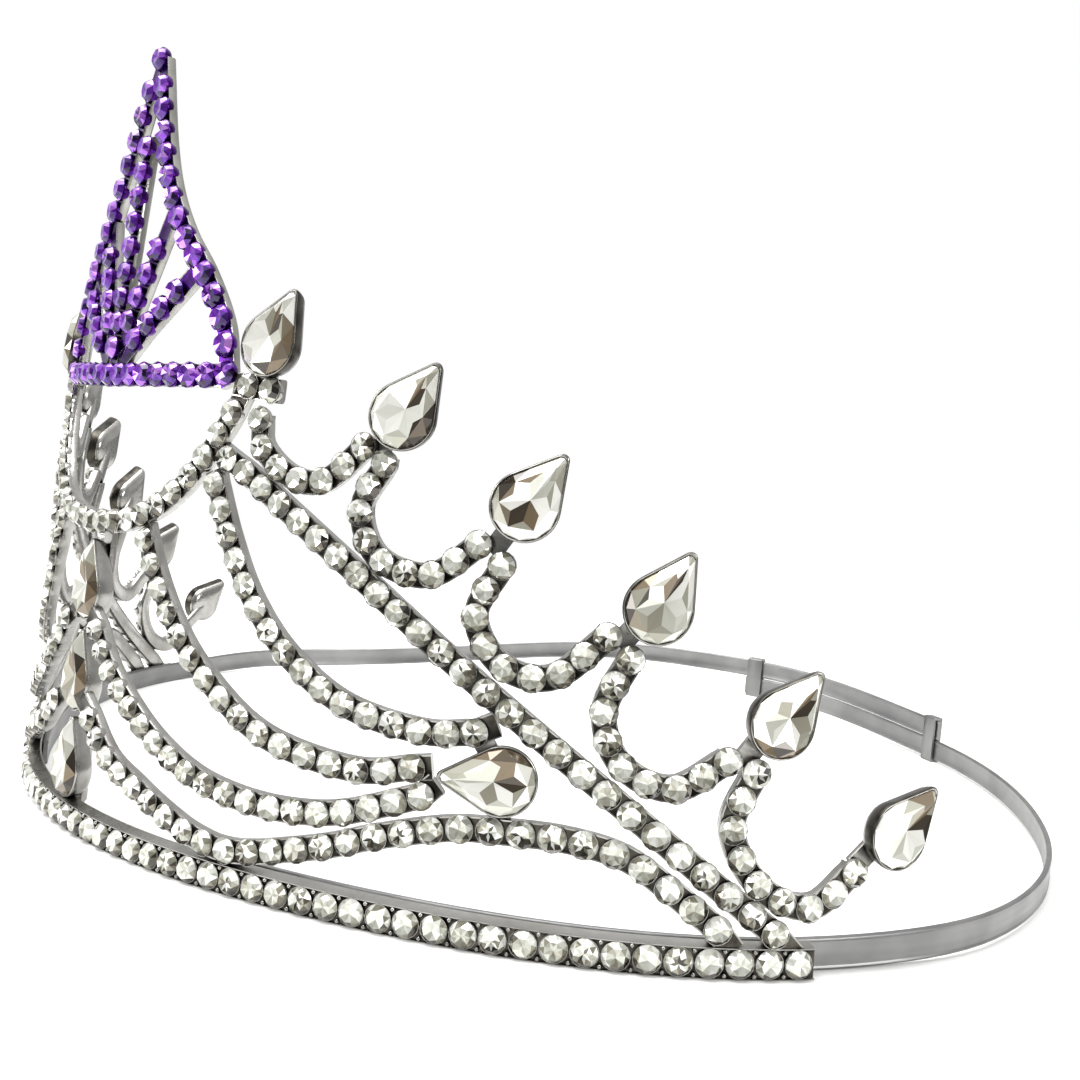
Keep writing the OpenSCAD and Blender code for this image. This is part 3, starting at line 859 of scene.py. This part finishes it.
# the swoops' and arcs' stones have no solids of their own
makeStoneField("crystalSwoops", bothSides(swoopStones), crystal, seed=4)
makeStoneField("crystalArcs", bothSides(arcStones), crystal, seed=5)
makeStoneField("amethystPeak", purpleStones, amethyst, seed=6, node="peak_stones")
for i, place in enumerate(pears["top"], 1):
    makePearStone("pearLeft%d" % i, place, "pear_left_%d" % i)
    makePearStone("pearRight%d" % i, mirrored(place), "pear_right_%d" % i)
makePearStone("sidePearLeft", pears["side"], "side_pear_left")
makePearStone("sidePearRight", mirrored(pears["side"]), "side_pear_right")
for i, place in enumerate(pears["centre"], 1):
    makePearStone("centrePear%d" % i, place, "centre_pear_%d" % i)
print("pear stones made")


# the band: two flat strips with a rolled lip along each edge, and two crimped sleeves. it runs
# round by the angle, in degrees from the front middle over the left side
bandShape = {
    "height": 3.6, "thickness": 0.8, "bottom": 0.6, "frontBottom": 0.1, "gap": 0.3, "rise": 2.6,
    "behindRail": 1.713, "comeOut": (72, 88), "drop": (208, 264),
    "start": 21, "sleeveLeft": 159, "sleeveRight": 193, "pastSleeve": 1.5, "step": 2.0,
    # [in from an edge, out from the outer face] up to the middle, and the middle's own depth
    "outerFace": [(-0.05, -0.22), (0.05, -0.08), (0.16, 0.0), (0.26, -0.01), (0.38, -0.128),
                  (0.5, -0.16), (1.224, -0.088)],
    "middleDepth": -0.064,
    # [in from an edge, out from the inner face]
    "innerFace": [(-0.05, 0.2), (0.08, 0.05), (0.24, 0.0), (0.4, 0.02), (0.6, 0.1)],
}


def ramp(start, stop, a):
    # 0 before the start and 1 after the stop, with a smooth rise between them
    share = min(max((a - start) / (stop - start), 0), 1)
    return (1 - math.cos(math.pi * share)) / 2


def bandOut(a):
    return -bandShape["behindRail"] * (1 - ramp(*bandShape["comeOut"], min(a, 360 - a)))


def endHeight(a):
    low, high = bandShape["frontBottom"], bandShape["bottom"]
    return low + (high - low) * ramp(*bandShape["comeOut"], min(a, 360 - a))


def lowerHeight(a):
    return endHeight(a) + bandShape["rise"] * ramp(bandShape["sleeveLeft"], bandShape["sleeveRight"], a)


def rightHeight(a):
    upper = lowerHeight(a) + bandShape["height"] + bandShape["gap"]
    return upper + (endHeight(a) - upper) * ramp(*bandShape["drop"], a)


def makeBandStrip(name, first, last, height, node):
    tall, thick = bandShape["height"], bandShape["thickness"]
    outer, inner = bandShape["outerFace"], bandShape["innerFace"]
    profile = (outer + [(tall / 2, bandShape["middleDepth"])] + [(tall - z, d) for z, d in reversed(outer)]
               + [(tall - z, d - thick) for z, d in inner] + [(z, d - thick) for z, d in reversed(inner)])
    count = math.ceil((last - first) / bandShape["step"])
    rings = []
    for i in range(count + 1):
        a = first + (last - first) * i / count
        rings.append([polar(a, 0, bandOut(a) + d) + Vector((0, 0, height(a) + z)) for z, d in profile])
    mesh = emptyMesh()
    addLoft(mesh, rings)
    piece = makePiece(name, mesh, [bandSteel])
    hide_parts(node)
    print(name, "made")


sleeveShape = {
    "width": 3.4, "wall": 0.5, "slack": 0.1, "corner": 0.35, "innerCorner": 0.1, "cornerSteps": 4,
    "edge": 0.1, "edgeRun": 0.12,      # rounding of the ends: in from the faces, and along
}


def roundedBox(halfX, low, high, corner):
    points, steps = [], sleeveShape["cornerSteps"]
    right, bottom, top = halfX - corner, low + corner, high - corner
    for x, z, start in ((right, bottom, -90), (right, top, 0), (-right, top, 90), (-right, bottom, 180)):
        for k in range(steps + 1):
            a = math.radians(start + 90 * k / steps)
            points.append((x + corner * math.cos(a), z + corner * math.sin(a)))
    return points


def makeSleeve(name, angle, node):
    wall, slack, edge = sleeveShape["wall"], sleeveShape["slack"], sleeveShape["edge"]
    depth = bandShape["thickness"] / 2 + slack + wall
    tall = 2 * bandShape["height"] + bandShape["gap"] + 2 * slack + 2 * wall
    run = (polar(angle + 1, 0, 0) - polar(angle - 1, 0, 0)).normalized()
    out = Vector((run.y, -run.x, 0))
    middle = polar(angle, 0, -bandShape["thickness"] / 2)
    middle.z = lowerHeight(angle) - slack - wall
    outer = roundedBox(depth, 0, tall, sleeveShape["corner"])
    rounded = roundedBox(depth - edge, edge, tall - edge, sleeveShape["corner"])
    inner = roundedBox(depth - wall, wall, tall - wall, sleeveShape["innerCorner"])
    half = sleeveShape["width"] / 2
    shoulder = half - sleeveShape["edgeRun"]
    rings = []
    for shape, x in ((outer, shoulder), (rounded, half), (inner, half), (inner, -half),
                     (rounded, -half), (outer, -shoulder)):
        rings.append([middle + x * run + d * out + Vector((0, 0, z)) for d, z in shape])
    mesh = emptyMesh()
    addLoft(mesh, rings, closed=True)
    piece = makePiece(name, mesh, [bandSteel])
    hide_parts(node)
    print(name, "made")


makeBandStrip("bandLeft", bandShape["start"], bandShape["sleeveRight"] + bandShape["pastSleeve"],
              lowerHeight, "band_left")
makeBandStrip("bandRight", bandShape["sleeveLeft"] - bandShape["pastSleeve"], 360 - bandShape["start"],
              rightHeight, "band_right")
makeSleeve("sleeveLeft", bandShape["sleeveLeft"], "sleeve_left")
makeSleeve("sleeveRight", bandShape["sleeveRight"], "sleeve_right")


# plain pale studio: a floor that runs out into white, softboxes above, and a room that is dark
# towards the photographer, so that polished metal and cut stones have something black to show
studio = {
    "floor": "#f4f4f3", "floorRoughness": 0.6, "floorSpecular": 0.2,
    "floorSize": 6.0, "floorSides": 96, "clearFrom": 0.2, "clearTo": 0.4, "farFloor": 0.3,
    "backdrop": 1.0,       # what the camera itself sees of the far floor and the room
    "room": (0.85, 0.2), "roomFrom": -0.5, "roomTo": 0.7, "roomTurn": 49.9,
    "ceiling": 1.15, "ceilingFrom": 0.5, "ceilingTo": 0.72,
    "aim": (0, 0, 0.04),
    "soft": [
        {"name": "overheadSoftbox", "place": (-0.05, -0.1, 0.6), "size": 0.45, "power": 4.6},
        {"name": "leftSoftbox", "place": (0.6, 0.05, 0.28), "size": 0.22, "power": 1.6},
        {"name": "frontSoftbox", "place": (-0.25, -0.6, 0.3), "size": 0.25, "power": 2.4},
    ],
}


def seenOr(tree, other, backdrop):
    # the camera sees the plain backdrop, and everything else gets the other strength
    seen = addNode(tree, "ShaderNodeLightPath").outputs["Is Camera Ray"]
    return addNode(tree, "ShaderNodeMix", {0: seen, 2: other, 3: backdrop}).outputs[0]


def makeFloor(settings):
    bpy.ops.mesh.primitive_circle_add(
        vertices=settings["floorSides"], radius=settings["floorSize"], fill_type="NGON")
    floor = bpy.context.object
    floor.name = "studioFloor"
    material, tree = newMaterial("paleStudioFloor")
    painted = addNode(tree, "ShaderNodeBsdfPrincipled", {
        "Base Color": linearColour(settings["floor"]), "Roughness": settings["floorRoughness"],
        "Specular IOR Level": settings["floorSpecular"]})
    far = addNode(tree, "ShaderNodeEmission", {
        "Strength": seenOr(tree, settings["farFloor"], settings["backdrop"])})
    place = addNode(tree, "ShaderNodeTexCoord").outputs["Object"]
    reach = addNode(tree, "ShaderNodeVectorMath", {0: place}, operation="LENGTH")
    share = addNode(tree, "ShaderNodeMapRange", {
        "Value": reach.outputs["Value"], "From Min": settings["clearFrom"],
        "From Max": settings["clearTo"]}, interpolation_type="SMOOTHSTEP")
    shader = addNode(tree, "ShaderNodeMixShader", {
        0: share.outputs["Result"], 1: painted.outputs["BSDF"], 2: far.outputs["Emission"]})
    finishMaterial(tree, shader.outputs["Shader"])
    floor.data.materials.append(material)


def makeSoftboxes(settings):
    for light in settings["soft"]:
        data = bpy.data.lights.new(light["name"], "AREA")
        data.size = light["size"]
        data.energy = light["power"]
        lamp = bpy.data.objects.new(light["name"], data)
        lamp.location = light["place"]
        aim = Vector(settings["aim"]) - Vector(light["place"])
        lamp.rotation_euler = aim.to_track_quat("-Z", "Y").to_euler()
        bpy.context.scene.collection.objects.link(lamp)


def makeRoom(settings):
    world = bpy.data.worlds.new("studioSurround")
    world.use_nodes = True
    tree = world.node_tree
    tree.nodes.clear()
    turn = math.radians(settings["roomTurn"])
    towards = (math.sin(turn), -math.cos(turn), 0)
    place = addNode(tree, "ShaderNodeTexCoord").outputs["Generated"]
    facing = addNode(tree, "ShaderNodeVectorMath", {0: place, 1: towards}, operation="DOT_PRODUCT")
    room = addNode(tree, "ShaderNodeMapRange", {
        "Value": facing.outputs["Value"],
        "From Min": settings["roomFrom"], "From Max": settings["roomTo"],
        "To Min": settings["room"][0], "To Max": settings["room"][1]}, interpolation_type="SMOOTHSTEP")
    height = addNode(tree, "ShaderNodeSeparateXYZ", {"Vector": place}).outputs["Z"]
    ceiling = addNode(tree, "ShaderNodeMapRange", {
        "Value": height, "From Min": settings["ceilingFrom"], "From Max": settings["ceilingTo"],
        "To Max": settings["ceiling"]}, interpolation_type="SMOOTHSTEP")
    level = addNode(tree, "ShaderNodeMath", {
        0: room.outputs["Result"], 1: ceiling.outputs["Result"]}, operation="MAXIMUM")
    background = addNode(tree, "ShaderNodeBackground", {
        "Color": (1, 1, 1, 1), "Strength": seenOr(tree, level.outputs["Value"], settings["backdrop"])})
    output = tree.nodes.new("ShaderNodeOutputWorld")
    tree.links.new(background.outputs["Background"], output.inputs["Surface"])
    bpy.context.scene.world = world
    bpy.context.scene.view_settings.view_transform = "Standard"


makeFloor(studio)
makeSoftboxes(studio)
makeRoom(studio)
print("studio lit")
